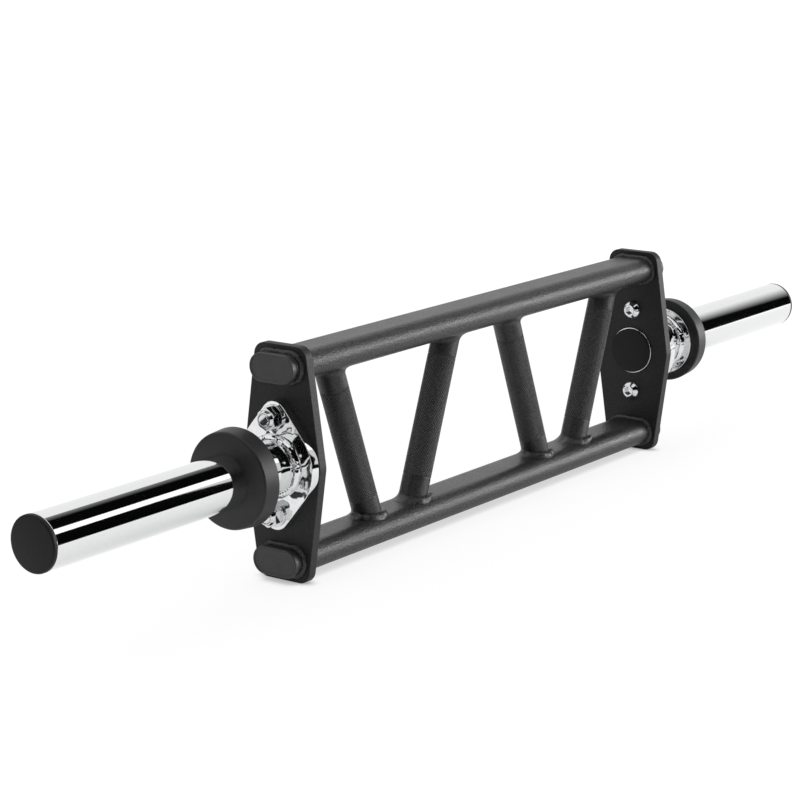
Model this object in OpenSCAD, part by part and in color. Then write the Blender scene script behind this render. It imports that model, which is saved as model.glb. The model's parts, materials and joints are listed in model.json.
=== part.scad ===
// Short multi-grip bar. Two flat-oval rails run through two side plates, four tilted grips are
// welded between the rails, and a chromed loading sleeve is bolted to each plate.
// +X runs along the bar, +Z is up. The origin is on the ground, under the middle of the bar.

/* [Side plates] */
// Clear distance between the two plates
plate_gap = 595; // [560:5:680]
// Thickness of a plate
plate_t = 10; // [6:1:14]
// Height of a plate, which is also the height of the bar
plate_h = 220; // [216:2:260]
// Width of a plate at its widest, level with the sleeves
plate_mid_w = 89; // [88:1:110]
// Width of a plate at its top and bottom, before the corners are rounded
plate_end_w = 57.4; // [56:0.2:76]
// Radius of the four corners
plate_corner_r = 12; // [4:1:14]
// Radius of the two blunt points at mid height
plate_mid_r = 20; // [6:1:40]

/* [Rails] */
// Width of the flat-oval tube, front to back
rail_w = 50; // [46:1:52]
// Height of the flat-oval tube
rail_h = 26; // [22:1:28]
// Wall of the tube
rail_wall = 2.5; // [1.5:0.25:4]
// Distance of a rail's axis from the end of the plate that it runs through
rail_edge = 20; // [18:1:40]
// How far a rail stands out of a plate
rail_stub = 8; // [5:0.5:14]

/* [Grips] */
// Outer diameter of a grip
grip_d = 28; // [24:1:32]
// Wall of a grip tube
grip_wall = 2.5; // [1.5:0.25:4]
// Tilt of each grip from upright, in degrees
grip_tilt = 20.5; // [5:0.5:23]
// Distance of the inner grips' middles from the bar's middle
inner_grip_x = 80; // [65:1:85]
// Distance of the outer grips' middles from the bar's middle
outer_grip_x = 209; // [198:1:214]

/* [Loading sleeves] */
// Outer diameter of a sleeve
sleeve_d = 50; // [49:0.1:50.5]
// Wall of the sleeve tube
sleeve_wall = 4; // [2.5:0.25:6]
// Length that weight plates slide onto
load_len = 234; // [150:2:420]
// How far the sleeve tube stands proud inside the plate
sleeve_proud = 1; // [0.5:0.1:3]
// Distance from the plate to the stop disc
stop_gap = 53.5; // [44:0.5:80]
// Diameter of the stop disc
disc_d = 74; // [66:1:82]
// Thickness of the stop disc
disc_t = 4; // [3:0.5:8]
// Outer diameter of the rubber stop ring
ring_d = 92; // [86:1:110]
// Width of the rubber stop ring
ring_w = 21; // [15:1:30]
// Depth of the turned seat that holds the rubber ring
seat_depth = 0.6; // [0.4:0.1:1]

/* [Sleeve flanges] */
// Thickness of a flange
flange_t = 10; // [6:1:14]
// How far a flange's round middle stays inside the plate's widest points
flange_edge = 1; // [0.5:0.5:4]
// Radius of its two ends
flange_end_r = 15; // [13.5:0.5:18]
// Distance between the two bolts
bolt_span = 90; // [88:1:96]

/* [Fasteners] */
// Thread diameter of the bolts
bolt_d = 12; // [10:1:12]
// Diameter of the round bolt head
head_d = 21; // [18:0.5:22]
// Height of the round bolt head
head_h = 6.6; // [5:0.1:7]
// Key size of the hexagon socket
socket_af = 8; // [6:1:8]
// Diameter of the washer under a nut
washer_d = 24; // [22:0.5:25]
// Thickness of the washer
washer_t = 2.5; // [1.5:0.5:3]
// Width of the nut across its flats
nut_af = 19; // [18:1:20]
// Height of the locking nut
nut_h = 12; // [11:0.5:14]
// Length of bolt that shows past the nut
bolt_tip = 0.5; // [0.5:0.5:4]

/* [Caps] */
// Thickness of a rail cap's head
rail_cap_t = 5; // [3.5:0.5:8]
// How far a rail cap's head stands out round the tube
rail_cap_lip = 0.4; // [0.1:0.1:1]
// How deep a rail cap's plug goes into the rail
rail_plug_len = 14; // [8:1:24]
// Thickness of the cap's head at a sleeve's outer end
end_cap_t = 2; // [1.5:0.1:4]
// How much smaller that head is than the sleeve, on each side
end_cap_inset = 0.35; // [0.3:0.05:1.5]
// Thickness of the cap's head at a sleeve's inner end
inner_cap_t = 1.2; // [1:0.1:3]
// How much smaller that head is than the sleeve, on each side
inner_cap_inset = 1.2; // [0.8:0.1:2]
// How deep a sleeve cap's plug goes into the sleeve
cap_plug_len = 16; // [10:1:30]

/* [Welds and fits] */
// Leg of the weld round each rail
rail_weld = 3.2; // [2:0.1:4]
// Leg of the weld round each grip's ends
grip_weld = 3.5; // [2:0.1:4.5]
// Leg of the welds on the sleeve, at its flange and its disc
sleeve_weld = 5; // [3:0.25:6]
// Gap round a tube in the hole that it passes through
slot_gap = 0.15; // [0.1:0.05:0.4]
// Gap round a bolt in its holes
bolt_gap = 0.5; // [0.3:0.1:0.8]
// Gap round a plastic plug or ring where it is pushed on
push_gap = 0.1; // [0.05:0.05:0.2]

/* [Hidden] */

axis_z = plate_h / 2;
plate_in_x = plate_gap / 2;
plate_out_x = plate_in_x + plate_t;
rail_len = 2 * (plate_out_x + rail_stub);
rail_span = plate_h - 2 * rail_edge;
rail_face = rail_span / 2 - rail_h / 2;
flange_x = plate_out_x + flange_t;
flange_mid_r = plate_mid_w / 2 - flange_edge;
disc_x = plate_out_x + stop_gap;
ring_x = disc_x + disc_t;
load_x = ring_x + ring_w;
tube_in_x = plate_in_x - sleeve_proud;
tube_out_x = load_x + load_len;
sleeve_r = sleeve_d / 2;
bore_r = sleeve_r - sleeve_wall;
bolt_r = bolt_d / 2;
hole_r = bolt_r + bolt_gap;
nut_x = flange_x + washer_t;
grip_r = grip_d / 2;
// The tilted grip meets a rail in an oval, and its bead starts halfway between the oval's radii
grip_foot_r = (grip_r + grip_r / cos(grip_tilt)) / 2;
// How far a grip's bead and its end reach down the rail's round side before they are coped
weld_root = 3;
// Edges, fins, ribs and grooves that follow no other size
ring_front_r = 3;
ring_back_r = 2;
ring_bore_r = 1.2;
tube_chamfer = 0.6;
disc_chamfer = 0.6;
cap_edge_r = 1.2;
cap_rim_r = 0.8;
plug_wall = 2;
plug_lead = 1;
fins = 3;
fin_h = 0.8;
fin_w = 2;
rib_w = 1.6;
head_rim = 1;
head_flat_r = 5.6;
socket_depth = 4.2;
thread_chamfer = 1;
nut_chamfer = 0.8;
collar_h = 3.5;
collar_inset = 0.7;
collar_draft = 1.3;
insert_h = 2.6;
insert_t = 1;
// How far a cutting shape runs past what it cuts
over = 1;
// A straight edge runs this little inside the arcs that it joins, so that it crosses them cleanly
sink = 0.01;

// Fine enough that every round becomes a true arc
$fn = 64;

// A drawing of Y across and Z up, drawn out along +X from x
module out_along_x(x, length)
    translate([x, 0, axis_z]) rotate([90, 0, 90]) linear_extrude(length) children();

// A profile of radius across and height up, turned round the sleeves' axis from x towards +X
module turned_on_axis(x)
    translate([x, 0, axis_z]) rotate([0, 90, 0]) rotate_extrude() children();

// The same round a bolt's axis, for both bolts of a flange
module turned_on_bolts(x)
    for (side = [-1, 1])
        translate([x, 0, axis_z + side * bolt_span / 2]) rotate([0, 90, 0]) rotate_extrude()
            children();

module bolt_discs(x, r, length)
    for (side = [-1, 1])
        translate([x, 0, axis_z + side * bolt_span / 2]) rotate([0, 90, 0])
            cylinder(r = r, h = length);

// Right-hand pieces are drawn at +X, and left-hand ones are their mirror image
module on_side(side)
    if (side > 0) children();
    else mirror([1, 0, 0]) children();

module obround(w, h) {
    square([w - h, h], center = true);
    for (side = [-1, 1]) translate([side * (w - h) / 2, 0]) circle(d = h);
}

module quarter_disc(r)
    intersection() {
        circle(r);
        square(r);
    }

// A bead of quarter-round section that stands on a face, outside an obround of w by h
module obround_bead(w, h, r)
    for (side = [0, 180]) rotate(side) {
        translate([0, h / 2, 0]) rotate([90, 0, 90])
            linear_extrude(w - h, center = true) quarter_disc(r);
        translate([(w - h) / 2, 0, 0]) rotate(-90)
            rotate_extrude(angle = 180) translate([h / 2, 0]) quarter_disc(r);
    }

// A box from corner a to corner b, with its corners rounded by four radii, turning from a's corner
// first along the box's width
module soft_box(a, b, radii) {
    corners = [a, [b[0], a[1]], b, [a[0], b[1]]];
    inward = [[1, 1], [-1, 1], [-1, -1], [1, -1]];
    along_x = [for (i = [0:3]) corners[i] + [radii[i] * inward[i][0], 0]];
    along_y = [for (i = [0:3]) corners[i] + [0, radii[i] * inward[i][1]]];
    polygon([
        along_y[0], along_x[0], along_x[1], along_y[1],
        along_y[2], along_x[2], along_x[3], along_y[3]
    ]);
    for (i = [0:3])
        if (radii[i] > 0) translate(corners[i] + radii[i] * inward[i]) circle(radii[i]);
}

// An upright hexagon, rounded at its four corners and at the blunt points halfway up
module plate_outline() {
    lean = atan((plate_mid_w - plate_end_w) / plate_h);
    outward = [cos(lean), sin(lean)];
    corner_z = plate_h / 2 - plate_corner_r;
    corner_y = plate_mid_w / 2 - (plate_corner_r + corner_z * sin(lean)) / cos(lean);
    point_y = plate_mid_w / 2 - plate_mid_r / cos(lean);
    edge = [
        [point_y, 0] + (plate_mid_r - sink) * outward,
        [corner_y, corner_z] + (plate_corner_r - sink) * outward,
        [corner_y, plate_h / 2]
    ];
    for (side = [-1, 1]) {
        for (end = [-1, 1])
            translate([side * corner_y, end * corner_z]) circle(plate_corner_r);
        translate([side * point_y, 0]) circle(plate_mid_r);
    }
    polygon([
        edge[0], edge[1], edge[2],
        [-edge[2][0], edge[2][1]], [-edge[1][0], edge[1][1]], [-edge[0][0], edge[0][1]],
        -edge[0], -edge[1], -edge[2],
        [edge[2][0], -edge[2][1]], [edge[1][0], -edge[1][1]], [edge[0][0], -edge[0][1]]
    ]);
}

module side_plate(side)
    color("#262626") on_side(side)
        difference() {
            out_along_x(plate_in_x, plate_t) difference() {
                plate_outline();
                for (end = [-1, 1]) translate([0, end * rail_span / 2])
                    obround(rail_w + 2 * slot_gap, rail_h + 2 * slot_gap);
                circle(sleeve_r + slot_gap);
            }
            bolt_discs(plate_in_x - over, hole_r, plate_t + 2 * over);
        }

module rail(end)
    color("#2b2b2b")
        out_along_x(-rail_len / 2, rail_len) translate([0, end * rail_span / 2])
            difference() {
                obround(rail_w, rail_h);
                obround(rail_w - 2 * rail_wall, rail_h - 2 * rail_wall);
            }

// Both rails as solid bars, to cope what meets them
module rail_bodies()
    for (end = [-1, 1])
        out_along_x(-rail_len / 2, rail_len) translate([0, end * rail_span / 2])
            obround(rail_w, rail_h);

module grip_bar(x, lean, r)
    translate([x, 0, axis_z]) rotate([0, lean, 0])
        cylinder(r = r, h = 2 * rail_span, center = true);

// lean is the tilt with its sign: a grip that leans to +X at its top has a positive one
module grip(x, lean)
    color("#303030")
        difference() {
            intersection() {
                grip_bar(x, lean, grip_r);
                translate([0, 0, axis_z])
                    cube([rail_len, 2 * rail_w, 2 * (rail_face + weld_root)], center = true);
            }
            grip_bar(x, lean, grip_r - grip_wall);
            rail_bodies();
        }

GRIPS = [
    [-outer_grip_x, -grip_tilt], [-inner_grip_x, grip_tilt],
    [inner_grip_x, -grip_tilt], [outer_grip_x, grip_tilt]
];

// A ring round a grip's end, coped to the grip and to the rail's flat and round sides
module grip_weld_bead(x, lean, end)
    difference() {
        translate([x + end * rail_face * tan(lean), 0, axis_z + end * rail_face])
            mirror([0, 0, end > 0 ? 1 : 0]) rotate_extrude() {
                translate([grip_foot_r, 0]) quarter_disc(grip_weld);
                translate([grip_r / 2, -weld_root])
                    square([grip_foot_r + grip_weld - grip_r / 2, weld_root]);
                translate([grip_r / 2, 0]) square([grip_foot_r - grip_r / 2, grip_weld]);
            }
        grip_bar(x, lean, grip_r);
        rail_bodies();
    }

module grip_welds(end)
    color("#2d2d2d")
        for (g = GRIPS) grip_weld_bead(g[0], g[1], end);

// The two beads on one face of a plate, outside it or between the plates
module rail_welds(side, outside)
    color("#2d2d2d") on_side(side)
        for (end = [-1, 1])
            translate([outside ? plate_out_x : plate_in_x, 0, axis_z + end * rail_span / 2])
                rotate([90, 0, 90]) mirror([0, 0, outside ? 0 : 1])
                    obround_bead(rail_w, rail_h, rail_weld);

// Head with a rounded rim, hollow plug and two ribs that stiffen it
module rail_cap(side, end) {
    cap_w = rail_w + 2 * rail_cap_lip;
    cap_h = rail_h + 2 * rail_cap_lip;
    plug_w = rail_w - 2 * rail_wall - 2 * push_gap;
    plug_h = rail_h - 2 * rail_wall - 2 * push_gap;
    color("#1f1f1f") on_side(side)
        translate([rail_len / 2, 0, axis_z + end * rail_span / 2]) rotate([90, 0, 90]) {
            linear_extrude(rail_cap_t - cap_edge_r) obround(cap_w, cap_h);
            linear_extrude(rail_cap_t) obround(cap_w - 2 * cap_edge_r, cap_h - 2 * cap_edge_r);
            translate([0, 0, rail_cap_t - cap_edge_r])
                obround_bead(cap_w - 2 * cap_edge_r, cap_h - 2 * cap_edge_r, cap_edge_r);
            translate([0, 0, -rail_plug_len]) {
                linear_extrude(rail_plug_len) difference() {
                    obround(plug_w, plug_h);
                    obround(plug_w - 2 * plug_wall, plug_h - 2 * plug_wall);
                }
                for (third = [-1, 1])
                    translate([third * plug_w / 6 - rib_w / 2, (plug_wall - plug_h) / 2, 0])
                        cube([rib_w, plug_h - plug_wall, rail_plug_len]);
            }
        }
}

// One tube from inside the side plate to the end of the loading length
module sleeve_tube(side)
    color("#d9dadb") on_side(side)
        turned_on_axis(0) polygon([
            [bore_r, tube_in_x],
            [sleeve_r, tube_in_x],
            [sleeve_r, ring_x],
            [sleeve_r - seat_depth, ring_x],
            [sleeve_r - seat_depth, load_x],
            [sleeve_r, load_x],
            [sleeve_r, tube_out_x - tube_chamfer],
            [sleeve_r - tube_chamfer, tube_out_x],
            [bore_r, tube_out_x]
        ]);

// Lozenge with a round middle and two round ends, joined by straight tangents
module flange_outline() {
    rise = asin((flange_mid_r - flange_end_r) / (bolt_span / 2));
    outward = [cos(rise), sin(rise)];
    edge = [
        (flange_mid_r - sink) * outward,
        [0, bolt_span / 2] + (flange_end_r - sink) * outward
    ];
    circle(flange_mid_r);
    for (side = [-1, 1]) translate([0, side * bolt_span / 2]) circle(flange_end_r);
    polygon([
        edge[0], edge[1], [-edge[1][0], edge[1][1]], [-edge[0][0], edge[0][1]],
        -edge[0], -edge[1], [edge[1][0], -edge[1][1]], [edge[0][0], -edge[0][1]]
    ]);
}

module sleeve_flange(side)
    color("#d3d4d6") on_side(side)
        difference() {
            out_along_x(plate_out_x, flange_t) difference() {
                flange_outline();
                circle(sleeve_r + slot_gap);
            }
            bolt_discs(plate_out_x - over, hole_r, flange_t + 2 * over);
        }

module stop_disc(side)
    color("#d3d4d6") on_side(side)
        turned_on_axis(disc_x) polygon([
            [sleeve_r + slot_gap, 0],
            [disc_d / 2 - disc_chamfer, 0],
            [disc_d / 2, disc_chamfer],
            [disc_d / 2, disc_t],
            [sleeve_r + slot_gap, disc_t]
        ]);

module flange_weld(side)
    color("#c9cacc") on_side(side)
        turned_on_axis(flange_x) translate([sleeve_r, 0]) quarter_disc(sleeve_weld);

module disc_weld(side)
    color("#c9cacc") on_side(side)
        turned_on_axis(disc_x) translate([sleeve_r, 0]) mirror([0, 1]) quarter_disc(sleeve_weld);

module stop_ring(side)
    color("#1a1a1a") on_side(side)
        turned_on_axis(ring_x)
            soft_box([sleeve_r - seat_depth + push_gap, 0], [ring_d / 2, ring_w],
                [0, ring_back_r, ring_front_r, ring_bore_r]);

// Push-in cap, in profile: a head with a rounded rim on a hollow plug with fins that grip the bore
module push_cap(head_r, head_t) {
    plug_r = bore_r - fin_h;
    fin_r = bore_r - push_gap / 2;
    pitch = cap_plug_len / (fins + 1);
    soft_box([0, 0], [head_r, head_t], [0, 0, cap_rim_r, 0]);
    polygon(concat(
        [[plug_r, head_t / 2], [plug_r - plug_wall, head_t / 2]],
        [[plug_r - plug_wall, -cap_plug_len], [plug_r - plug_lead, -cap_plug_len]],
        [[plug_r, plug_lead - cap_plug_len]],
        [for (i = [fins:-1:1]) each [
            [plug_r, -i * pitch - fin_w / 2], [fin_r, -i * pitch], [plug_r, -i * pitch + fin_w / 2]
        ]]
    ));
}

module end_cap(side)
    color("#1c1c1c") on_side(side)
        turned_on_axis(tube_out_x) push_cap(sleeve_r - end_cap_inset, end_cap_t);

module inner_cap(side)
    color("#1c1c1c") on_side(side)
        translate([tube_in_x, 0, axis_z]) rotate([0, -90, 0]) rotate_extrude()
            push_cap(sleeve_r - inner_cap_inset, inner_cap_t);

// Button head inside the plate, shank through plate and flange, tip past the lock nut
module flange_bolts(side) {
    bolt_len = nut_x + nut_h + bolt_tip - plate_in_x;
    // The dome runs from the head's rim to the flat round its socket
    dome_y = (pow(head_d / 2, 2) + pow(head_rim, 2) - pow(head_flat_r, 2) - pow(head_h, 2))
        / (2 * (head_h - head_rim));
    dome_r = norm([head_d / 2, dome_y + head_rim]);
    color("#cfd0d2") on_side(side)
        difference() {
            turned_on_bolts(plate_in_x) {
                intersection() {
                    translate([0, dome_y]) circle(dome_r);
                    translate([0, -head_h]) square([head_d / 2, head_h]);
                }
                polygon([
                    [0, -head_rim], [bolt_r, -head_rim], [bolt_r, bolt_len - thread_chamfer],
                    [bolt_r - thread_chamfer, bolt_len], [0, bolt_len]
                ]);
            }
            for (end = [-1, 1])
                translate([plate_in_x - head_h - over, 0, axis_z + end * bolt_span / 2])
                    rotate([0, 90, 0])
                        cylinder(d = socket_af / cos(30), h = socket_depth + over, $fn = 6);
        }
}

module washers(side)
    color("#cfd0d2") on_side(side)
        turned_on_bolts(flange_x)
            translate([hole_r, 0]) square([washer_d / 2 - hole_r, washer_t]);

// Hexagon with chamfered corners, and a round collar that is rolled over the nylon ring
module lock_nuts(side) {
    hex_h = nut_h - collar_h;
    hex_r = nut_af / 2 / cos(30);
    collar_r = nut_af / 2 - collar_inset;
    fit = push_gap / 2;
    color("#cfd0d2") on_side(side)
        difference() {
            union() {
                intersection() {
                    for (end = [-1, 1])
                        translate([nut_x, 0, axis_z + end * bolt_span / 2]) rotate([0, 90, 0])
                            cylinder(r = hex_r, h = hex_h, $fn = 6);
                    turned_on_bolts(nut_x) polygon([
                        [0, 0], [hex_r - nut_chamfer, 0], [hex_r, nut_chamfer],
                        [hex_r, hex_h - nut_chamfer], [hex_r - nut_chamfer, hex_h], [0, hex_h]
                    ]);
                }
                turned_on_bolts(nut_x) polygon([
                    [0, hex_h / 2], [collar_r, hex_h / 2], [collar_r, hex_h],
                    [collar_r - collar_draft, nut_h], [0, nut_h]
                ]);
            }
            turned_on_bolts(nut_x) polygon([
                [0, -over], [bolt_r + fit, -over], [bolt_r + fit, hex_h],
                [bolt_r + insert_t + fit, hex_h], [bolt_r + insert_t + fit, hex_h + insert_h],
                [bolt_r + insert_t / 2, hex_h + insert_h], [bolt_r + insert_t / 2, nut_h + over],
                [0, nut_h + over]
            ]);
        }
}

module nut_inserts(side)
    color("#e8e8e2") on_side(side)
        turned_on_bolts(nut_x + nut_h - collar_h)
            translate([bolt_r + push_gap / 2, 0]) square([insert_t, insert_h]);

side_plate(-1);  // left_side_plate
side_plate(1);  // right_side_plate
rail(1);  // upper_rail
rail(-1);  // lower_rail
grip(GRIPS[0][0], GRIPS[0][1]);  // left_outer_grip
grip(GRIPS[1][0], GRIPS[1][1]);  // left_inner_grip
grip(GRIPS[2][0], GRIPS[2][1]);  // right_inner_grip
grip(GRIPS[3][0], GRIPS[3][1]);  // right_outer_grip
grip_welds(1);  // upper_grip_welds
grip_welds(-1);  // lower_grip_welds
rail_welds(-1, true);  // left_outer_rail_welds
rail_welds(-1, false);  // left_inner_rail_welds
rail_welds(1, true);  // right_outer_rail_welds
rail_welds(1, false);  // right_inner_rail_welds
rail_cap(-1, 1);  // upper_left_rail_cap
rail_cap(-1, -1);  // lower_left_rail_cap
rail_cap(1, 1);  // upper_right_rail_cap
rail_cap(1, -1);  // lower_right_rail_cap
sleeve_tube(-1);  // left_sleeve_tube
sleeve_tube(1);  // right_sleeve_tube
sleeve_flange(-1);  // left_sleeve_flange
sleeve_flange(1);  // right_sleeve_flange
flange_weld(-1);  // left_flange_weld
flange_weld(1);  // right_flange_weld
stop_disc(-1);  // left_stop_disc
stop_disc(1);  // right_stop_disc
disc_weld(-1);  // left_disc_weld
disc_weld(1);  // right_disc_weld
stop_ring(-1);  // left_stop_ring
stop_ring(1);  // right_stop_ring
end_cap(-1);  // left_end_cap
end_cap(1);  // right_end_cap
inner_cap(-1);  // left_inner_cap
inner_cap(1);  // right_inner_cap
flange_bolts(-1);  // left_flange_bolts
flange_bolts(1);  // right_flange_bolts
washers(-1);  // left_washers
washers(1);  // right_washers
lock_nuts(-1);  // left_lock_nuts
lock_nuts(1);  // right_lock_nuts
nut_inserts(-1);  // left_nut_inserts
nut_inserts(1);  // right_nut_inserts
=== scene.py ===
# %% [markdown]
# A short multi-grip bar for strength training. Two flat-oval rails run through two side plates,
# four tilted knurled grips are welded between the rails, and a chromed sleeve for weight plates
# is bolted to each side plate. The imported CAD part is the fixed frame. It already has every size
# and place, so this lesson only gives each piece its rounded edges, weld ripples, knurl and finish.

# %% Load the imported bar
import json
import math

import bmesh
import bpy
from mathutils import Matrix, Vector, noise

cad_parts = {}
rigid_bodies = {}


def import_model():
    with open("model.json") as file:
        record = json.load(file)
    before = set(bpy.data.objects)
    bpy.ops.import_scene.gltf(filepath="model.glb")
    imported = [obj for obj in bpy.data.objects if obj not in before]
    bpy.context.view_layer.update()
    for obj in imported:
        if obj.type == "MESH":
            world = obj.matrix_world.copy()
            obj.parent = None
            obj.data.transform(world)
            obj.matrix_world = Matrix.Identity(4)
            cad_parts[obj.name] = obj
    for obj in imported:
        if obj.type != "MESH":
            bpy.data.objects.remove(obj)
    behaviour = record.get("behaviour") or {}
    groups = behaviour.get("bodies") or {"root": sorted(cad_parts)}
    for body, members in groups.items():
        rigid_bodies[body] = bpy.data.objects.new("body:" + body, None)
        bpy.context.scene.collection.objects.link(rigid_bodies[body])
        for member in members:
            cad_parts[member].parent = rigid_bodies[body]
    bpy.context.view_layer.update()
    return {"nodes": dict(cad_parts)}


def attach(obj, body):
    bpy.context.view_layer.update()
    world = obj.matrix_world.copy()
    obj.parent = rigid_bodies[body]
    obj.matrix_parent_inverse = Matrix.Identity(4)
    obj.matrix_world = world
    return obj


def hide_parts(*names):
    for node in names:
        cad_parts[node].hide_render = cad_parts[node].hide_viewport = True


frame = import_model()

# %% [markdown]
# Blender measures in metres, and the bar is drawn in millimetres. The numbers below are the sizes
# that the new pieces share with the solids. x runs along the bar and is measured from its middle,
# z is up from the floor, and both sides of the bar are mirror images.

# %% Sizes of the bar, in millimetres
MM = 0.001
AXIS_Z = 110
TUBE_IN_X = 296.5
PLATE_IN_X = 297.5
PLATE_OUT_X = 307.5
FLANGE_X = 317.5
DISC_X = 361
RING_X = 365
LOAD_X = 386
TUBE_END_X = 620
SLEEVE_R = 25
BORE_R = 21
DISC_R = 37
RING_R = 46
RAIL_END_X = 315.5
RAIL_R = 13
RAIL_STRAIGHT = 24
RAIL_Z = {"upper": 200, "lower": 20}
RAIL_FACE = 77
GRIP_R = 14
GRIP_TILT = 20.5
GRIPS = {
    "left_outer": (-209, -GRIP_TILT),
    "left_inner": (-80, GRIP_TILT),
    "right_inner": (80, -GRIP_TILT),
    "right_outer": (209, GRIP_TILT),
}
SIDES = {"left": -1, "right": 1}

# %% [markdown]
# A finish is a node material. Colours are written as on a paint chart, in sRGB hex, and the shader
# works in linear light, so one function converts them. A second one adds a node, gives it its
# settings and joins it to the nodes before it, which keeps each recipe below as short as a list.

# %% Colour, node and finish helpers
def linear(hex_colour):
    parts = [int(hex_colour[i:i + 2], 16) / 255 for i in (1, 3, 5)]
    return [c / 12.92 if c <= 0.04045 else ((c + 0.055) / 1.055) ** 2.4 for c in parts] + [1]


def add_node(tree, kind, inputs=None, **settings):
    node = tree.nodes.new(kind)
    for name, value in settings.items():
        setattr(node, name, value)
    for socket, value in (inputs or {}).items():
        if isinstance(value, bpy.types.NodeSocket):
            tree.links.new(value, node.inputs[socket])
        else:
            node.inputs[socket].default_value = value
    return node


def start_finish(name, **values):
    finish = bpy.data.materials.new(name)
    finish.use_nodes = True
    shader = finish.node_tree.nodes["Principled BSDF"]
    for socket, value in values.items():
        shader.inputs[socket.replace("_", " ")].default_value = value
    return finish, finish.node_tree, shader


def join_finish(tree, shader, tint, gloss, bump):
    tree.links.new(tint.outputs[2], shader.inputs["Base Color"])
    tree.links.new(gloss.outputs["Result"], shader.inputs["Roughness"])
    tree.links.new(bump.outputs["Normal"], shader.inputs["Normal"])


# %% [markdown]
# The frame, the plates and the grips are powder coated: dry black paint is sprayed on and baked.
# It gives a satin, slightly pebbled film. The pebbles are about 0.3 mm on the real one. Here they
# are drawn at 1.6 to 1.8 mm, because a finer grain would vanish in a picture where a pixel is
# 1 mm wide. Faint clouds, 40 mm wide, vary the gloss.

# %% Powder coat
CLOUD_MM = 40


def coat(name, colour, worn, rough, grain_mm, height_mm, shine=0.5):
    finish, tree, shader = start_finish(name, IOR=1.5, Specular_IOR_Level=shine)
    place = add_node(tree, "ShaderNodeTexCoord").outputs["Object"]
    grain = add_node(tree, "ShaderNodeTexNoise", {
        "Vector": place, "Scale": 1 / (grain_mm * MM), "Detail": 1, "Roughness": 0.6})
    pebbles = add_node(tree, "ShaderNodeMapRange", {
        "Value": grain.outputs["Fac"], "From Min": 0.35, "From Max": 0.65},
        interpolation_type="SMOOTHSTEP")
    clouds = add_node(tree, "ShaderNodeTexNoise", {
        "Vector": place, "Scale": 1 / (CLOUD_MM * MM), "Detail": 3})
    tint = add_node(tree, "ShaderNodeMix", {
        0: pebbles.outputs["Result"], 6: linear(colour), 7: linear(worn)}, data_type="RGBA")
    gloss = add_node(tree, "ShaderNodeMapRange", {
        "Value": clouds.outputs["Fac"], "To Min": rough - 0.05, "To Max": rough + 0.05})
    bump = add_node(tree, "ShaderNodeBump", {
        "Height": pebbles.outputs["Result"], "Strength": 1, "Distance": height_mm * MM})
    join_finish(tree, shader, tint, gloss, bump)
    return finish


plate_coat = coat("Satin powder coat, plates", "#0a0a0a", "#161616", rough=0.55, grain_mm=1.8,
                  height_mm=0.1, shine=0.36)
rail_coat = coat("Satin powder coat, rails", "#0c0c0c", "#2c2c2c", rough=0.38, grain_mm=1.8,
                 height_mm=0.18)
grip_coat = coat("Satin powder coat, grips", "#141414", "#2c2c2c", rough=0.42, grain_mm=1.6,
                 height_mm=0.08, shine=0.4)
# The crests' lighter colour is a painted highlight, where light catches the knurl's diamonds. Their
# lower roughness is the smoother paint there.
crest_highlight_coat = coat("Powder coat on knurl crests, painted highlight", "#444444", "#606060", rough=0.3, grain_mm=1.6,
                  height_mm=0.02)
weld_coat = coat("Satin powder coat over welds", "#121212", "#2c2c2c", rough=0.36, grain_mm=1.8,
                 height_mm=0.12)

# %% [markdown]
# The rail plugs are moulded in black polyethylene and the sleeve caps in black polyamide, from
# spark-eroded moulds, which leave a fine even grain of about 0.1 mm. It is drawn here at 1.1 to
# 1.6 mm, for the same reason as the paint's. The stop rings are moulded from black rubber, whose
# grain is softer, and the rings in the lock nuts are white nylon.

# %% Moulded plastic and rubber
HAZE_MM = 18


def moulded(name, colour, light, rough, ior, grain_mm, height_mm, shine=0.5):
    finish, tree, shader = start_finish(name, IOR=ior, Specular_IOR_Level=shine)
    place = add_node(tree, "ShaderNodeTexCoord").outputs["Object"]
    grain = add_node(tree, "ShaderNodeTexVoronoi", {
        "Vector": place, "Scale": 1 / (grain_mm * MM)}, feature="SMOOTH_F1")
    haze = add_node(tree, "ShaderNodeTexNoise", {
        "Vector": place, "Scale": 1 / (HAZE_MM * MM), "Detail": 4})
    tint = add_node(tree, "ShaderNodeMix", {
        0: haze.outputs["Fac"], 6: linear(colour), 7: linear(light)}, data_type="RGBA")
    gloss = add_node(tree, "ShaderNodeMapRange", {
        "Value": haze.outputs["Fac"], "To Min": rough - 0.06, "To Max": rough + 0.06})
    bump = add_node(tree, "ShaderNodeBump", {
        "Height": grain.outputs["Distance"], "Strength": 1, "Distance": height_mm * MM})
    join_finish(tree, shader, tint, gloss, bump)
    return finish


cap_plastic = moulded("Moulded black polyethylene", "#191919", "#383838", rough=0.43, ior=1.51,
                      grain_mm=1.1, height_mm=0.2)
plug_plastic = moulded("Moulded black polyamide", "#0a0a0a", "#161616", rough=0.5, ior=1.53,
                       grain_mm=1.6, height_mm=0.12, shine=0.2)
ring_rubber = moulded("Moulded black rubber", "#0a0a0a", "#141414", rough=0.46, ior=1.52,
                      grain_mm=1.2, height_mm=0.03, shine=0.4)
insert_nylon = moulded("Moulded white nylon", "#d9d9d2", "#e6e6e0", rough=0.45, ior=1.53,
                       grain_mm=0.7, height_mm=0.02)

# %% [markdown]
# The sleeves are ground, polished and chrome plated. Polished tube is nearly a mirror, with a few
# long shallow waves. The flanges and their beads were plated over rough steel, so the same chrome
# shows dapples 9 to 14 mm wide there. The fasteners are zinc plated, which is bright and a little
# cloudy.

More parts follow.
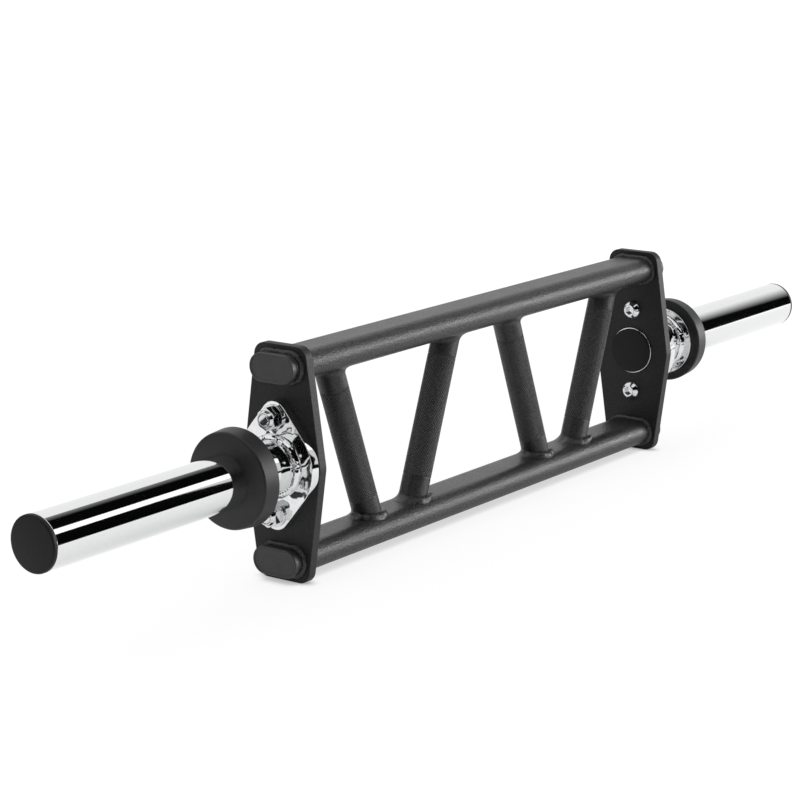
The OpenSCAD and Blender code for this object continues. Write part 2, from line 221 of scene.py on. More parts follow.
# %% Plated metals
def plated(name, colour, dull, rough, wave_mm, wave_height_mm, pit_mm, pit_height_mm):
    finish, tree, shader = start_finish(name, Metallic=1)
    place = add_node(tree, "ShaderNodeTexCoord").outputs["Object"]
    waves = add_node(tree, "ShaderNodeTexNoise", {
        "Vector": place, "Scale": 1 / (wave_mm * MM), "Detail": 0, "Distortion": 0.4})
    pits = add_node(tree, "ShaderNodeTexNoise", {
        "Vector": place, "Scale": 1 / (pit_mm * MM), "Detail": 2})
    tint = add_node(tree, "ShaderNodeMix", {
        0: pits.outputs["Fac"], 6: linear(colour), 7: linear(dull)}, data_type="RGBA")
    gloss = add_node(tree, "ShaderNodeMapRange", {
        "Value": waves.outputs["Fac"], "To Min": rough * 0.7, "To Max": rough * 1.3})
    swell = add_node(tree, "ShaderNodeBump", {
        "Height": waves.outputs["Fac"], "Strength": 1, "Distance": wave_height_mm * MM})
    bump = add_node(tree, "ShaderNodeBump", {
        "Height": pits.outputs["Fac"], "Strength": 1, "Distance": pit_height_mm * MM,
        "Normal": swell.outputs["Normal"]})
    join_finish(tree, shader, tint, gloss, bump)
    return finish


sleeve_chrome = plated("Polished chrome plate", "#e9eaea", "#e3e4e4", rough=0.05, wave_mm=60,
                       wave_height_mm=0.02, pit_mm=3, pit_height_mm=0.001)
flange_chrome = plated("Chrome plate on rough steel", "#eff0f1", "#d9dadb", rough=0.06, wave_mm=14,
                       wave_height_mm=0.9, pit_mm=3, pit_height_mm=0.006)
weld_chrome = plated("Chrome plate on weld bead", "#eff0f1", "#d3d4d5", rough=0.06, wave_mm=9,
                     wave_height_mm=0.6, pit_mm=3, pit_height_mm=0.006)
bolt_zinc = plated("Bright zinc plate", "#e4e5e6", "#c6c8ca", rough=0.07, wave_mm=8,
                   wave_height_mm=0.05, pit_mm=1, pit_height_mm=0.002)

# %% [markdown]
# Every new piece ends in the same way: its mesh is shaded smooth with its sharp edges kept, it
# rides on the one body of the bar, and it stands for the solid that it dresses. Weighted normals
# keep a flat face flat right up to its rounded edge, as a face is on a real machined part.

# %% Finishing a piece
made = []


def finish_piece(name, bm, finish, slot, *nodes, sharp_deg=40):
    mesh = bpy.data.meshes.new(name)
    bm.to_mesh(mesh)
    bm.free()
    mesh.materials.append(finish)
    mesh.shade_smooth()
    mesh.set_sharp_from_angle(angle=math.radians(sharp_deg))
    piece = bpy.data.objects.new(name, mesh)
    bpy.context.scene.collection.objects.link(piece)
    normals = piece.modifiers.new("Flat faces stay flat", "WEIGHTED_NORMAL")
    normals.keep_sharp = True
    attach(piece, "root")
    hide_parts(*nodes)
    triangles = sum(len(p.vertices) - 2 for p in mesh.polygons)
    made.append((name, triangles))
    print(name, triangles, "triangles")
    return piece


def paint_solid(node, finish):
    solid = frame["nodes"][node]
    solid.data.materials.clear()
    solid.data.materials.append(finish)


# %% [markdown]
# Sleeves, discs, rings, caps and their beads are all turned on a lathe or could be. Each one is a
# half profile, spun round the sleeves' axis. A rail's cap and the bead round a rail are the same
# thing with the circle pulled apart: half a turn, a straight run, half a turn and a straight run.
# So one helper sweeps a profile round a lap, and a lap with no straight run is a full turn.

# %% Sweep a profile round a circle or an obround
RUN_STEP = 1.5
MERGE_DIST = 0.002


def lap(profile, side=1, straight=0, z=AXIS_Z, steps=160, rounding=3):
    """profile lists (x, distance out, corner radius) in mm. A profile that doesn't start and end
    on the axis is closed into a ring."""
    bm = bmesh.new()
    corners = [bm.verts.new((side * x, 0, -out)) for x, out, _ in profile]
    pairs = list(zip(corners, corners[1:]))
    if profile[0][1] > 0:
        pairs.append((corners[-1], corners[0]))
    for pair in pairs:
        bm.edges.new(pair)
    for corner, (_, _, radius) in zip(corners, profile):
        if radius:
            bmesh.ops.bevel(bm, geom=[corner], offset=radius, offset_type="OFFSET",
                            segments=rounding, profile=0.5, affect="VERTICES", material=-1)
    bmesh.ops.translate(bm, verts=bm.verts, vec=(0, straight / 2, 0))
    part = bm.verts[:] + bm.edges[:]
    if straight:
        runs = round(straight / RUN_STEP)
        for way in (1, -1):
            turn = bmesh.ops.spin(bm, geom=part, cent=(0, way * straight / 2, 0), axis=(1, 0, 0),
                                  angle=math.pi, steps=steps // 2)
            part = turn["geom_last"]
            run = bmesh.ops.spin(bm, geom=part, cent=(0, 0, 0), axis=(1, 0, 0), angle=0,
                                 dvec=(0, -way * straight / runs, 0), steps=runs)
            part = run["geom_last"]
    else:
        bmesh.ops.spin(bm, geom=part, cent=(0, 0, 0), axis=(1, 0, 0), angle=2 * math.pi,
                       steps=steps, use_merge=True)
    bmesh.ops.remove_doubles(bm, verts=bm.verts, dist=MERGE_DIST)
    bmesh.ops.translate(bm, verts=bm.verts, vec=(0, 0, z))
    bmesh.ops.scale(bm, verts=bm.verts, vec=(MM, MM, MM))
    bmesh.ops.recalc_face_normals(bm, faces=bm.faces)
    return bm


# %% [markdown]
# A bead laid by hand is never even. Metal is laid in overlapping pools, so its surface has ripples
# 2 to 3 mm apart, and it is a little thicker here and thinner there. Both are added along the
# bead's own normals: the ripples follow the distance along the seam, and the lumps are smooth
# noise. The ripples' mean is taken off, so that they don't make the bead fatter.

# %% Ripples and lumps of a weld bead
RIPPLE_MEAN = 0.6
SEAM_R = 27
BEAD_STEPS = 8


def laid(bm, along, ripple_mm, ripple_height, lump_mm, lump_height, seed=0):
    """along gives the distance along the seam at a point, both in mm."""
    bm.normal_update()
    for vert in bm.verts:
        point = vert.co / MM
        ripple = abs(math.sin(math.pi * along(point) / ripple_mm)) - RIPPLE_MEAN
        lump = noise.noise(point / lump_mm + Vector((seed, 0, 0)))
        vert.co += vert.normal * (ripple * ripple_height + lump * lump_height) * MM
    return bm


def round_axis(point):
    return SEAM_R * math.atan2(point.z - AXIS_Z, point.y)


# %% [markdown]
# Laser-cut plates, forged flanges and fasteners have their final shape in the solids already. What
# they lack is the small radius that sanding, paint and plating leave on an edge, and that radius is
# what catches the light. A copy of the solid is merged, its flat faces are joined, and every edge
# sharper than 40 degrees is bevelled.

# %% Break the sharp edges of a solid
SAME_POINT = 1e-6
SAME_PLANE = math.radians(0.3)
SHARP_EDGE = math.radians(40)


def edges_broken(node, radius, segments=2):
    bm = bmesh.new()
    bm.from_mesh(frame["nodes"][node].data)
    bmesh.ops.remove_doubles(bm, verts=bm.verts, dist=SAME_POINT)
    bmesh.ops.dissolve_limit(bm, angle_limit=SAME_PLANE, verts=bm.verts, edges=bm.edges)
    sharp = [e for e in bm.edges if e.is_manifold and e.calc_face_angle() > SHARP_EDGE]
    bmesh.ops.bevel(bm, geom=sharp, offset=radius * MM, offset_type="OFFSET", segments=segments,
                    profile=0.5, affect="EDGES", material=-1)
    return bm


# %% [markdown]
# The side plates are 10 mm steel. Laser cutting leaves them square, and the paint rounds the edges
# to about 0.8 mm, which is the thin light line that runs down each plate.

# %% Side plates
for side in SIDES:
    bm = edges_broken(side + "_side_plate", radius=0.8, segments=3)
    finish_piece(side + "_plate", bm, plate_coat, "plate_coat", side + "_side_plate")

# %% [markdown]
# A rail is a plain flat-oval tube, and the solid is already right, so it only gets its paint.

# %% Rails
for end in RAIL_Z:
    paint_solid(end + "_rail", rail_coat)

# %% [markdown]
# Knurling presses two sets of crossing grooves into the tube and leaves rows of small diamonds. A
# bump map would look flat on the grip's outline, so the diamonds are modelled: a tube of square
# cells is poked, the cells' own edges are dissolved, which leaves diamonds, and each diamond is
# inset and raised. The real grooves are 1.4 mm apart, and they are drawn at 2 mm, because a finer
# pattern would blur away in a picture where a pixel is 1 mm wide. The crests get a smoother,
# lighter finish. The smoothness is the paint's, and the lighter colour is a painted highlight where
# light catches the diamonds. The tube's ends stay smooth, and they are cut off level just inside
# the rails' faces.

# %% Knurled grips
KNURL_HALF = 60
KNURL_DEPTH = 0.45
KNURL_AROUND = 30
KNURL_ALONG = 43
GROOVE_HALF = 0.5
KNURL_RUNOUT = 0.8
SMOOTH_END = 40
KNURL_MERGE = 0.01
GRIP_IN_RAIL = 2


def knurled_tube():
    root = GRIP_R - KNURL_DEPTH
    bm = bmesh.new()
    start = bm.verts.new((root, 0, -KNURL_HALF))
    bmesh.ops.spin(bm, geom=[start], cent=(0, 0, 0), axis=(0, 0, 1), angle=0,
                   dvec=(0, 0, 2 * KNURL_HALF / KNURL_ALONG), steps=KNURL_ALONG)
    bmesh.ops.spin(bm, geom=bm.verts[:] + bm.edges[:], cent=(0, 0, 0), axis=(0, 0, 1),
                   angle=2 * math.pi, steps=KNURL_AROUND, use_merge=True)
    bmesh.ops.remove_doubles(bm, verts=bm.verts, dist=KNURL_MERGE)
    bmesh.ops.recalc_face_normals(bm, faces=bm.faces)
    cell_edges = [e for e in bm.edges if not e.is_boundary]
    bmesh.ops.poke(bm, faces=bm.faces)
    bmesh.ops.dissolve_edges(bm, edges=cell_edges)
    crests = bm.faces[:]
    bmesh.ops.inset_individual(bm, faces=crests, thickness=GROOVE_HALF, depth=KNURL_DEPTH,
                               use_even_offset=True)
    # The crests take the second slot, whose lighter colour is a painted highlight.
    for crest in crests:
        crest.material_index = 1
    rims = [e for e in bm.edges if e.is_boundary]
    for out in (KNURL_RUNOUT, SMOOTH_END):
        grown = bmesh.ops.extrude_edge_only(bm, edges=rims)["geom"]
        rims = [e for e in grown if isinstance(e, bmesh.types.BMEdge) and e.is_boundary]
        for vert in {v for e in rims for v in e.verts}:
            flat = Vector((vert.co.x, vert.co.y, 0)).normalized() * GRIP_R
            way = 1 if vert.co.z > 0 else -1
            vert.co = flat + Vector((0, 0, vert.co.z + way * out))
    bmesh.ops.recalc_face_normals(bm, faces=bm.faces)
    return bm


for name, (x, lean) in GRIPS.items():
    bm = knurled_tube()
    place = Matrix.Translation((x, 0, AXIS_Z)) @ Matrix.Rotation(math.radians(lean), 4, "Y")
    bmesh.ops.transform(bm, matrix=place, verts=bm.verts)
    for way in (1, -1):
        cut_z = AXIS_Z + way * (RAIL_FACE + GRIP_IN_RAIL)
        cut = bmesh.ops.bisect_plane(bm, geom=bm.verts[:] + bm.edges[:] + bm.faces[:],
                                     plane_co=(0, 0, cut_z), plane_no=(0, 0, way),
                                     clear_outer=True)
        rim = [e for e in cut["geom_cut"] if isinstance(e, bmesh.types.BMEdge)]
        bmesh.ops.holes_fill(bm, edges=rim, sides=0)
    bmesh.ops.scale(bm, verts=bm.verts, vec=(MM, MM, MM))
    grip = finish_piece(name + "_hand_grip", bm, grip_coat, "grip_coat", name + "_grip",
                        sharp_deg=30)
    # Second slot: the crests' finish, painted lighter as a highlight.
    grip.data.materials.append(crest_highlight_coat)

# %% [markdown]
# Each grip is welded to both rails all the way round. The profile is a straight fillet from the
# grip down to the rail, spun round the grip's foot. Its face is then swelled or hollowed: the beads
# at the upper rail are smooth hollow fillets, and so is a stretch of each lower one, and the rest
# of a lower bead is full and rippled. Where the welder stopped, the last pool stands up as a small
# blob. At last the ring is stretched to the oval that a tilted tube leaves on a flat face, leant
# over with the tube, and let down where the rail's side falls away. Lengths are in mm and turns
# in radians.

# %% Beads round the grips
GRIP_BEAD_LEG = 4.8
BEAD_LIP = 0.2
BEAD_ROOT = 1.5
FULL_FACE = 1.5
HOLLOW_FACE = 1.9
HOLLOW_GROWTH = 0.35
HOLLOW_TURN = 2.2
GRIP_RIPPLE_MM = 2.4
GRIP_RIPPLE = 0.3
BLOB_TURN = -0.7
BLOB_TURN_STEP = -0.15
BLOB_MM = 2.6
BLOB_HEIGHT = 1.0
LUMP_FULL = 1.4
LUMP_HOLLOW = 0.3
LUMPS_PER_TURN = 2.6
LUMP_SHIFT = 0.37
DIAGONAL = 0.7


def rail_drop(y):
    past = min(max(abs(y) - RAIL_STRAIGHT / 2, 0), RAIL_R - 0.5)
    return RAIL_R - math.sqrt(RAIL_R ** 2 - past ** 2)


def grip_bead(bm, x, lean, end, blob_at):
    leg = GRIP_BEAD_LEG
    start = len(bm.verts)
    profile = [(-BEAD_ROOT, leg), (-BEAD_LIP, leg)]
    profile += [(leg * i / BEAD_STEPS, leg * (1 - i / BEAD_STEPS)) for i in range(BEAD_STEPS + 1)]
    profile += [(leg, -BEAD_LIP), (leg, -BEAD_ROOT)]
    section = [bm.verts.new((GRIP_R + out, 0, up)) for out, up in profile]
    edges = [bm.edges.new(pair) for pair in zip(section, section[1:])]
    bmesh.ops.spin(bm, geom=section + edges, cent=(0, 0, 0), axis=(0, 0, 1),
                   angle=2 * math.pi, steps=120, use_merge=True)
    bm.verts.ensure_lookup_table()
    way = 1 if end == "lower" else -1
    tilt = math.tan(math.radians(lean))
    for vert in bm.verts[start:]:
        turn = math.atan2(vert.co.y, vert.co.x)
        reach = math.hypot(vert.co.x, vert.co.y) - GRIP_R
        up = vert.co.z
        middle = max(0, 1 - (2 * reach / leg - 1) ** 2) if 0 <= up <= leg else 0
        hollow = 1 if end == "upper" else max(0, math.cos(turn - HOLLOW_TURN))
        full = 1 - hollow
        growth = 1 + HOLLOW_GROWTH * hollow
        reach *= growth if reach > 0 else 1
        up *= growth if up > 0 else 1
        face = FULL_FACE * full - HOLLOW_FACE * hollow
        pools = abs(math.sin(math.pi * GRIP_R * turn / GRIP_RIPPLE_MM)) - RIPPLE_MEAN
        away = (turn - blob_at + math.pi) % (2 * math.pi) - math.pi
        blob = BLOB_HEIGHT * math.exp(-(away * GRIP_R / BLOB_MM) ** 2)
        spot = Vector((math.cos(turn) * LUMPS_PER_TURN, math.sin(turn) * LUMPS_PER_TURN,
                       x * LUMP_SHIFT + way))
        lump = (LUMP_FULL * full + LUMP_HOLLOW * hollow) * noise.noise(spot)
        swell = (face + (GRIP_RIPPLE * pools + blob) * full) * middle * DIAGONAL
        swell += lump * math.sqrt(middle)
        reach += swell
        up += swell
        across = (GRIP_R + reach) * math.sin(turn)
        along = (GRIP_R + reach) * math.cos(turn) / math.cos(math.radians(lean))
        foot = x - way * RAIL_FACE * tilt
        height = up - rail_drop(across)
        vert.co = (foot + along + way * up * tilt, across, AXIS_Z - way * (RAIL_FACE - height))


for end in RAIL_Z:
    bm = bmesh.new()
    for i, (x, lean) in enumerate(GRIPS.values()):
        grip_bead(bm, x, lean, end, BLOB_TURN + BLOB_TURN_STEP * i)
    bmesh.ops.scale(bm, verts=bm.verts, vec=(MM, MM, MM))
    bmesh.ops.recalc_face_normals(bm, faces=bm.faces)
    finish_piece(end + "_grip_beads", bm, weld_coat, "weld_coat", end + "_grip_welds",
                 sharp_deg=60)

# %% [markdown]
# A bead also runs round each rail where it passes through a plate, outside and inside. Its profile
# is a quarter circle with its back sunk a little into the metal. It is swept round the rail's
# obround and is rippled along the same path.

# %% Beads round the rails
BEAD_SUNK = 0.3
BEAD_UNDER = 0.4
RAIL_BEAD_LEG = 3.2


def round_rail(end):
    def along(point):
        y, z = point.y, point.z - RAIL_Z[end]
        half = RAIL_STRAIGHT / 2
        if abs(y) <= half:
            return y if z > 0 else -y
        return RAIL_R * math.atan2(z, abs(y) - half)
    return along


def bead_profile(face_x, way, inner_r, leg):
    back = face_x - way * BEAD_SUNK
    profile = [(back, inner_r - BEAD_UNDER, 0), (back, inner_r + leg, 0)]
    for i in range(BEAD_STEPS + 1):
        turn = math.radians(90 * i / BEAD_STEPS)
        profile.append((face_x + way * leg * math.sin(turn), inner_r + leg * math.cos(turn), 0))
    profile.append((face_x + way * leg, inner_r - BEAD_UNDER, 0))
    return profile


for side, way in SIDES.items():
    for place, face_x, out in (("outer", PLATE_OUT_X, 1), ("inner", PLATE_IN_X, -1)):
        bm = bmesh.new()
        for end in RAIL_Z:
            profile = bead_profile(face_x, out, RAIL_R, RAIL_BEAD_LEG)
            bead = lap(profile, way, RAIL_STRAIGHT, RAIL_Z[end], steps=96)
            laid(bead, round_rail(end), ripple_mm=2.2, ripple_height=0.25, lump_mm=5,
                 lump_height=0.7, seed=way * 3 + out)
            mesh = bpy.data.meshes.new("bead")
            bead.to_mesh(mesh)
            bead.free()
            bm.from_mesh(mesh)
            bpy.data.meshes.remove(mesh)
        finish_piece(side + "_" + place + "_rail_beads", bm, weld_coat, "weld_coat",
                     side + "_" + place + "_rail_welds", sharp_deg=60)

# %% [markdown]
# The rail ends are closed by moulded plugs. The head is an obround with a rounded rim, the face is
# sunk 0.8 mm inside a narrow border, and a hollow plug, out of sight, holds it in the tube.

# %% Rail plugs
HEAD_T = 5
HEAD_R = 13.4
FACE_SUNK = 0.8
BORDER_IN_R = 11
BORDER_R = 11.6
PLUG_R = 10.4
PLUG_BORE_R = 8.4
PLUG_LENGTH = 14

for side, way in SIDES.items():
    for end, z in RAIL_Z.items():
        front = RAIL_END_X + HEAD_T
        face = front - FACE_SUNK
        back = RAIL_END_X - PLUG_LENGTH
        floor = RAIL_END_X - 1
        profile = [
            (face, 0, 0), (face, BORDER_IN_R, 0.3), (front, BORDER_R, 0.3), (front, HEAD_R, 1.1),
            (RAIL_END_X, HEAD_R, 0.2), (RAIL_END_X, PLUG_R, 0), (back, PLUG_R, 0.5),
            (back, PLUG_BORE_R, 0), (floor, PLUG_BORE_R, 0), (floor, 0, 0),
        ]
        bm = lap(profile, way, RAIL_STRAIGHT, z, steps=96, rounding=4)
        finish_piece(end + "_" + side + "_plug", bm, cap_plastic, "cap_plastic",
                     end + "_" + side + "_rail_cap")

# %% [markdown]
# The loading sleeve is one polished tube. A shallow seat is turned in it for the rubber ring, and
# its ends are broken to about 0.6 mm so that weight plates slide on.

# %% Sleeve tubes
SEAT_R = SLEEVE_R - 0.6

for side, way in SIDES.items():
    profile = [
        (TUBE_IN_X, BORE_R, 0.4), (TUBE_IN_X, SLEEVE_R, 0.5),
        (RING_X, SLEEVE_R, 0), (RING_X, SEAT_R, 0),
        (LOAD_X, SEAT_R, 0), (LOAD_X, SLEEVE_R, 0.1),
        (TUBE_END_X, SLEEVE_R, 0.6), (TUBE_END_X, BORE_R, 0.4),
    ]
    finish_piece(side + "_tube", lap(profile, way, steps=180), sleeve_chrome, "sleeve_chrome",
                 side + "_sleeve_tube")

# %% [markdown]
# The flange is a forged lozenge, bolted to the side plate. It keeps the solid's outline and gets
# the crisp edge that plating leaves.

# %% Sleeve flanges
for side in SIDES:
    bm = edges_broken(side + "_sleeve_flange", radius=0.6, segments=3)
    finish_piece(side + "_flange", bm, flange_chrome, "flange_chrome", side + "_sleeve_flange")

# %% [markdown]
# Two beads hold the tube, one to the flange and one to the stop disc. They were plated with the
# rest, so they show the same bright chrome over their ripples.

# %% Beads on the sleeves
SLEEVE_BEAD_LEG = 5

for side, way in SIDES.items():
    for name, face_x, out in (("flange", FLANGE_X, 1), ("disc", DISC_X, -1)):
        bm = lap(bead_profile(face_x, out, SLEEVE_R, SLEEVE_BEAD_LEG), way, steps=144)
        laid(bm, round_axis, ripple_mm=3.4, ripple_height=0.35, lump_mm=8, lump_height=1.0,
             seed=way * 5 + out)
        finish_piece(side + "_" + name + "_bead", bm, weld_chrome, "weld_chrome",
                     side + "_" + name + "_weld", sharp_deg=60)

# %% [markdown]
# The stop disc is turned steel, and the rubber ring sits against it. The mould gave it
# rounded edges, a taper of 1.6 mm on its side and a face that falls back 2 mm towards the rim.

# %% Stop discs and rubber rings
DISC_BORE_R = SLEEVE_R + 0.15
RING_BORE_R = 24.5
RING_FLAT_R = 31
RING_TAPER = 1.6
RING_FALL = 2

for side, way in SIDES.items():
    disc = [
        (DISC_X, DISC_BORE_R, 0), (DISC_X, DISC_R, 0.6), (RING_X, DISC_R, 0.3),
        (RING_X, DISC_BORE_R, 0),
    ]
    finish_piece(side + "_disc", lap(disc, way), flange_chrome, "flange_chrome",
                 side + "_stop_disc")
    ring = [
        (RING_X, RING_BORE_R, 0), (RING_X, RING_R, 2),
        (LOAD_X - RING_FALL, RING_R - RING_TAPER, 2.2), (LOAD_X, RING_FLAT_R, 8),
        (LOAD_X, RING_BORE_R, 0.8),
    ]
    finish_piece(side + "_ring", lap(ring, way, rounding=6), ring_rubber, "ring_rubber",
                 side + "_stop_ring")

# %% [markdown]
# A plastic cap closes each end of a sleeve. Its head is crowned and has a rounded rim, and three
# fins on its plug grip the bore. The outer cap's head is domed and stands 5.6 mm past the tube.
# The inner cap's head is smaller than the tube, so the tube's bright end shows round it.

# %% Sleeve caps
FIN_PITCH = 4
FIN_ROOT_R = 20.2
FIN_R = 20.9
CAP_PLUG_LENGTH = 16
CAP_BORE_R = 18.2
OUTER_CAP = {"head_r": 25, "head_t": 5.6, "crown": 1.5, "rim_r": 2}
INNER_CAP = {"head_r": 24.1, "head_t": 3, "crown": 0.8, "rim_r": 0.9}


def cap_profile(seat, way, head_r, head_t, crown, rim_r):
    """seat is the tube's end, and way is 1 where the head points away from the bar's middle."""
    face = seat + way * head_t
    back = seat - way * CAP_PLUG_LENGTH
    profile = [(face, 0, 0)]
    for share in (0.3, 0.5, 0.65, 0.8):
        profile.append((face - way * crown * share ** 2, head_r * share, 0))
    profile += [(face - way * crown, head_r, rim_r), (seat, head_r, 0), (seat, FIN_ROOT_R, 0)]
    for i in (1, 2, 3):
        fin = seat - way * FIN_PITCH * i
        profile += [(fin + way, FIN_ROOT_R, 0), (fin, FIN_R, 0), (fin - way, FIN_ROOT_R, 0)]
    profile += [(back, FIN_ROOT_R, 0.5), (back, CAP_BORE_R, 0), (seat, CAP_BORE_R, 0), (seat, 0, 0)]
    return profile


for side, way in SIDES.items():
    bm = lap(cap_profile(TUBE_END_X, 1, **OUTER_CAP), way, rounding=6)
    finish_piece(side + "_outer_plug", bm, plug_plastic, "cap_plastic", side + "_end_cap")
    bm = lap(cap_profile(TUBE_IN_X, -1, **INNER_CAP), way, rounding=4)
    finish_piece(side + "_inner_plug", bm, plug_plastic, "cap_plastic", side + "_inner_cap")

# %% [markdown]
# Two bolts hold each flange: a domed head with a hexagon socket inside the plate, and a washer and
# a locking nut outside it. Bolts and washers get the edges that plating leaves. The nuts and their
# nylon rings keep the solids' meshes.

# %% Bolts, washers, nuts and their nylon rings
for side in SIDES:
    finish_piece(side + "_bolt_pair", edges_broken(side + "_flange_bolts", radius=0.25),
                 bolt_zinc, "bolt_zinc", side + "_flange_bolts")
    finish_piece(side + "_washer_pair", edges_broken(side + "_washers", radius=0.3),
                 bolt_zinc, "bolt_zinc", side + "_washers")
    paint_solid(side + "_lock_nuts", bolt_zinc)
    paint_solid(side + "_nut_inserts", insert_nylon)

# %% [markdown]
# The bar stands on a plain pale floor that runs out of sight. Black paint and chrome are mostly
# reflection, so the studio matters as much as the finishes: a white room for the paint's soft
# sheen, and dark and white cards that draw the long bands on the chromed sleeves. The cards are
# seen only in reflections.
#
# Towards the camera the floor is grey paper with two glows added. The first fades within 9 mm of
# the bar. It is a painted contact shadow that leaves a dark line of shade under the bar's feet. The
# other grows with the distance, which turns the paper white before it ends. Reflections see pale
# paper and the second glow only.

# %% Floor
X_AXIS = (1, 0, 0)
Y_AXIS = (0, 1, 0)
Z_AXIS = (0, 0, 1)
PALE_PAPER = "#e6e6e6"
GREY_PAPER = "#7a7a7a"
NEAR_GLOW = (0.06, 0.53)
FAR_GLOW = (0.32, 0.60)
FAR_FROM = 0.8
FAR_TO = 2.6
PAINTED_SHADOW_REACH = 0.009


def sheet(name, centre, x_axis, y_axis, width, height, finish):
    bm = bmesh.new()
    bmesh.ops.create_grid(bm, x_segments=1, y_segments=1, size=0.5)
    x_axis, y_axis = Vector(x_axis), Vector(y_axis)
    turn = Matrix((x_axis * width, y_axis * height, x_axis.cross(y_axis))).transposed().to_4x4()
    bmesh.ops.transform(bm, matrix=Matrix.Translation(centre) @ turn, verts=bm.verts)
    mesh = bpy.data.meshes.new(name)
    bm.to_mesh(mesh)
    bm.free()
    mesh.materials.append(finish)
    plane = bpy.data.objects.new(name, mesh)
    bpy.context.scene.collection.objects.link(plane)
    return plane


paper, tree, shader = start_finish("White backdrop paper", Roughness=0.9, Specular_IOR_Level=0)
rays = add_node(tree, "ShaderNodeLightPath")
tint = add_node(tree, "ShaderNodeMix", {
    0: rays.outputs["Is Camera Ray"], 6: linear(PALE_PAPER), 7: linear(GREY_PAPER)},
    data_type="RGBA")
place = add_node(tree, "ShaderNodeTexCoord").outputs["Object"]
reach = add_node(tree, "ShaderNodeVectorMath", {0: place}, operation="LENGTH")
far = add_node(tree, "ShaderNodeMapRange", {
    "Value": reach.outputs["Value"], "From Min": FAR_FROM, "From Max": FAR_TO,
    "To Min": FAR_GLOW[0], "To Max": FAR_GLOW[1]}, interpolation_type="SMOOTHSTEP")
# Painted contact shadow: ambient occlusion dims the glow that the camera sees within 9 mm of the
# bar.
painted_contact_shadow = add_node(tree, "ShaderNodeAmbientOcclusion", {"Distance": PAINTED_SHADOW_REACH}, samples=8)
near = add_node(tree, "ShaderNodeMapRange", {
    "Value": painted_contact_shadow.outputs["AO"], "From Min": 0.2, "From Max": 0.95,
    "To Min": NEAR_GLOW[0], "To Max": NEAR_GLOW[1]})
seen = add_node(tree, "ShaderNodeMath", {
    0: rays.outputs["Is Camera Ray"], 1: near.outputs["Result"]}, operation="MULTIPLY")
mirrored = add_node(tree, "ShaderNodeMath", {
    0: rays.outputs["Is Camera Ray"], 1: rays.outputs["Is Glossy Ray"]}, operation="MAXIMUM")
glossy = add_node(tree, "ShaderNodeMath", {
    0: mirrored.outputs[0], 1: far.outputs["Result"]}, operation="MULTIPLY")
lift = add_node(tree, "ShaderNodeMath", {0: seen.outputs[0], 1: glossy.outputs[0]},
                operation="ADD")
shader.inputs["Emission Color"].default_value = linear("#ffffff")
tree.links.new(tint.outputs[2], shader.inputs["Base Color"])
tree.links.new(lift.outputs[0], shader.inputs["Emission Strength"])
sheet("Floor", (0, 4, 0), X_AXIS, Y_AXIS, 24, 24, paper)

# %% Cards for the reflections
def card(name, centre, x_axis, y_axis, width, height, tone, glow=1, fade=None):
    """fade gives two distances along Y and the tone at the first one. The second has tone."""
    finish = bpy.data.materials.new(name)
    finish.use_nodes = True
    tree = finish.node_tree
    tree.nodes.clear()
    shine = add_node(tree, "ShaderNodeEmission", {"Color": linear(tone), "Strength": glow})
    add_node(tree, "ShaderNodeOutputMaterial", {"Surface": shine.outputs[0]})
    if fade:
        place = add_node(tree, "ShaderNodeTexCoord").outputs["Object"]
        split = add_node(tree, "ShaderNodeSeparateXYZ", {0: place})
        share = add_node(tree, "ShaderNodeMapRange", {
            "Value": split.outputs["Y"], "From Min": fade[0], "From Max": fade[1]})
        blend = add_node(tree, "ShaderNodeMix", {
            0: share.outputs["Result"], 6: linear(fade[2]), 7: linear(tone)}, data_type="RGBA")
        tree.links.new(blend.outputs[2], shine.inputs["Color"])
    plane = sheet(name, centre, x_axis, y_axis, width, height, finish)
    plane.visible_camera = False
    plane.visible_diffuse = False
    plane.visible_shadow = False
    plane.visible_transmission = False


card("Dark card, front", (0.68, -1.5, 0.5), X_AXIS, Z_AXIS, 1.16, 1.0, "#060606")
card("White card, front", (1.83, -1.5, 0.5), X_AXIS, Z_AXIS, 1.14, 1.0, "#e0e0e0")
card("Dark card, floor", (0.5, -1, 0.012), X_AXIS, Y_AXIS, 1.4, 1.0, "#060606")
card("Dark card, floor left", (-1.9, -1.65, 0.012), X_AXIS, Y_AXIS, 2.7, 2.7, "#0a0a0a")
card("Dark card, upper left", (-2.3, -0.45, 1.6), Y_AXIS, Z_AXIS, 2.6, 1.6, "#080808")
card("Dark card, back", (-1.05, 1.5, 0.3), X_AXIS, Z_AXIS, 3.0, 0.55, "#060606")
card("Dark card, behind the camera", (-2, -3, 2), X_AXIS, Z_AXIS, 4.6, 3.2, "#0a0a0a")
card("White card", (1.5, -1.5, 1.45), X_AXIS, Z_AXIS, 2.2, 0.9, "#ffffff", glow=1.4)
card("Dark card, overhead", (2.3, -0.75, 2.6), X_AXIS, Y_AXIS, 2.4, 3.1, "#080808",
     fade=(0.8, -0.1, "#8a8a8a"))
card("Dark card, far end", (4, -1.1, 1.2), Y_AXIS, Z_AXIS, 2.4, 2.4, "#080808",
     fade=(-0.1, -1.55, "#f0f0f0"))

# %% [markdown]
# The light is what a product studio uses: one large soft box above and a little behind, and a
# bright room that fills the rest. A second soft box stands low at the front right. It draws the
# light band along the rails and grips. The chrome is screened from it by the dark cards, so light
# linking gives that box only the black pieces.

# %% Light
ROOM_LIGHT = 0.78

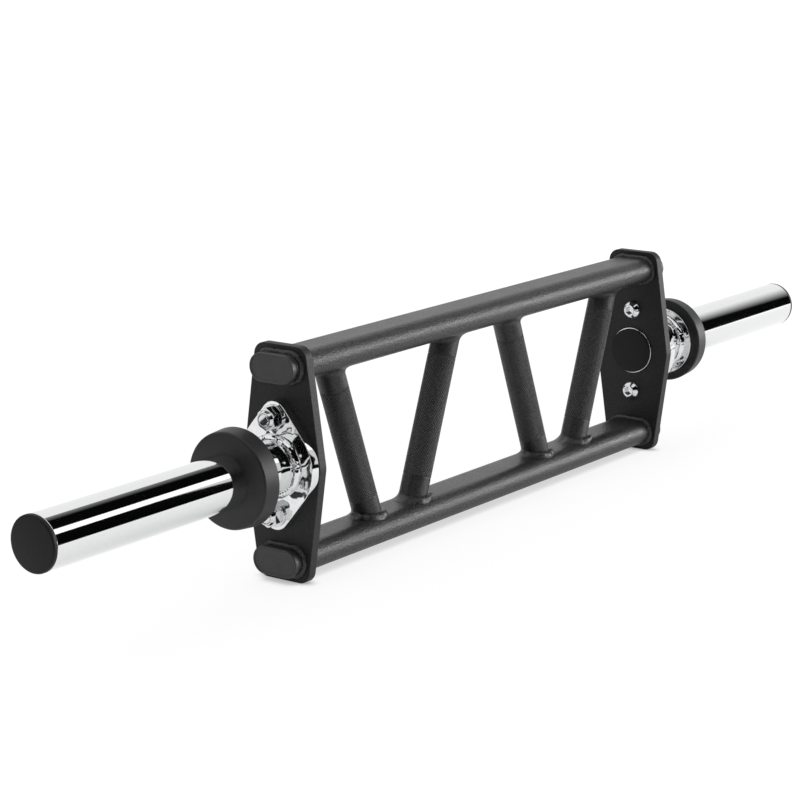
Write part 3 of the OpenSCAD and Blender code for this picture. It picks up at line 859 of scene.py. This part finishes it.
world = bpy.data.worlds.new("White room")
bpy.context.scene.world = world
world.use_nodes = True
tree = world.node_tree
back = tree.nodes["Background"]
rays = add_node(tree, "ShaderNodeLightPath")
seen = add_node(tree, "ShaderNodeMath", {
    0: rays.outputs["Is Camera Ray"], 1: rays.outputs["Is Glossy Ray"]}, operation="MAXIMUM")
seen = add_node(tree, "ShaderNodeMath", {
    0: seen.outputs[0], 1: rays.outputs["Is Transmission Ray"]}, operation="MAXIMUM")
power = add_node(tree, "ShaderNodeMapRange", {
    "Value": seen.outputs[0], "To Min": ROOM_LIGHT, "To Max": 1})
back.inputs["Color"].default_value = linear("#ffffff")
tree.links.new(power.outputs["Result"], back.inputs["Strength"])


def soft_box(name, place, aim, width, height, watts):
    lamp = bpy.data.lights.new(name, "AREA")
    lamp.shape = "RECTANGLE"
    lamp.size = width
    lamp.size_y = height
    lamp.energy = watts
    lamp_object = bpy.data.objects.new(name, lamp)
    bpy.context.scene.collection.objects.link(lamp_object)
    lamp_object.location = place
    lamp_object.rotation_euler = (Vector(aim) - Vector(place)).to_track_quat("-Z", "Y").to_euler()
    return lamp_object


top_light = soft_box("Soft box above", (1.1, 0.7, 2.2), aim=(0.1, 0, 0.1), width=2.0, height=1.6,
                     watts=12)
top_light.visible_glossy = False

black_finishes = {plate_coat, rail_coat, grip_coat, weld_coat, cap_plastic, plug_plastic,
                  ring_rubber}
black_pieces = bpy.data.collections.new("Black pieces")
for thing in list(bpy.context.scene.objects):
    if black_finishes & {slot.material for slot in thing.material_slots}:
        black_pieces.objects.link(thing)
side_light = soft_box("Soft box, front right", (2.9, -2.7, 0.75), aim=(0, 0, 0.2), width=2.6,
                      height=1.1, watts=150)
side_light.light_linking.receiver_collection = black_pieces

# %% [markdown]
# The camera stands where the photographer stood: 2.5 m away, 13 degrees above the bar, with a long
# lens. Its place and lens were worked out from the bar's own edges. The view leans by a third of
# a degree, and the shift keeps the bar where it is in the frame.

# %% Camera
CAMERA_PLACE = (-1.9752, -1.3779, 0.6723)
AZIMUTH = math.radians(53.5)
DOWN = math.radians(13.0738)
LEAN = math.radians(-0.2978)
ahead = Vector((math.sin(AZIMUTH) * math.cos(DOWN), math.cos(AZIMUTH) * math.cos(DOWN),
                -math.sin(DOWN)))
level = Vector((math.cos(AZIMUTH), -math.sin(AZIMUTH), 0))
above = level.cross(ahead)
right = math.cos(LEAN) * level + math.sin(LEAN) * above
up = -math.sin(LEAN) * level + math.cos(LEAN) * above
lens = bpy.data.cameras.new("Camera")
lens.sensor_width = 36
lens.lens = 111.009
lens.shift_x = -0.01133
lens.shift_y = -0.00294
lens.clip_start = 0.05
lens.clip_end = 60
camera = bpy.data.objects.new("Camera", lens)
camera.matrix_world = Matrix.Translation(CAMERA_PLACE) @ Matrix(
    (right, up, -ahead)).transposed().to_4x4()
bpy.context.scene.collection.objects.link(camera)
bpy.context.scene.camera = camera

# %% [markdown]
# Standard view transform shows each colour as it was written, and the number of new pieces and
# their triangles is printed.

# %% Finish
bpy.context.scene.view_settings.view_transform = "Standard"
print("pieces:", len(made), "triangles:", sum(count for _, count in made))
bpy.context.view_layer.update()
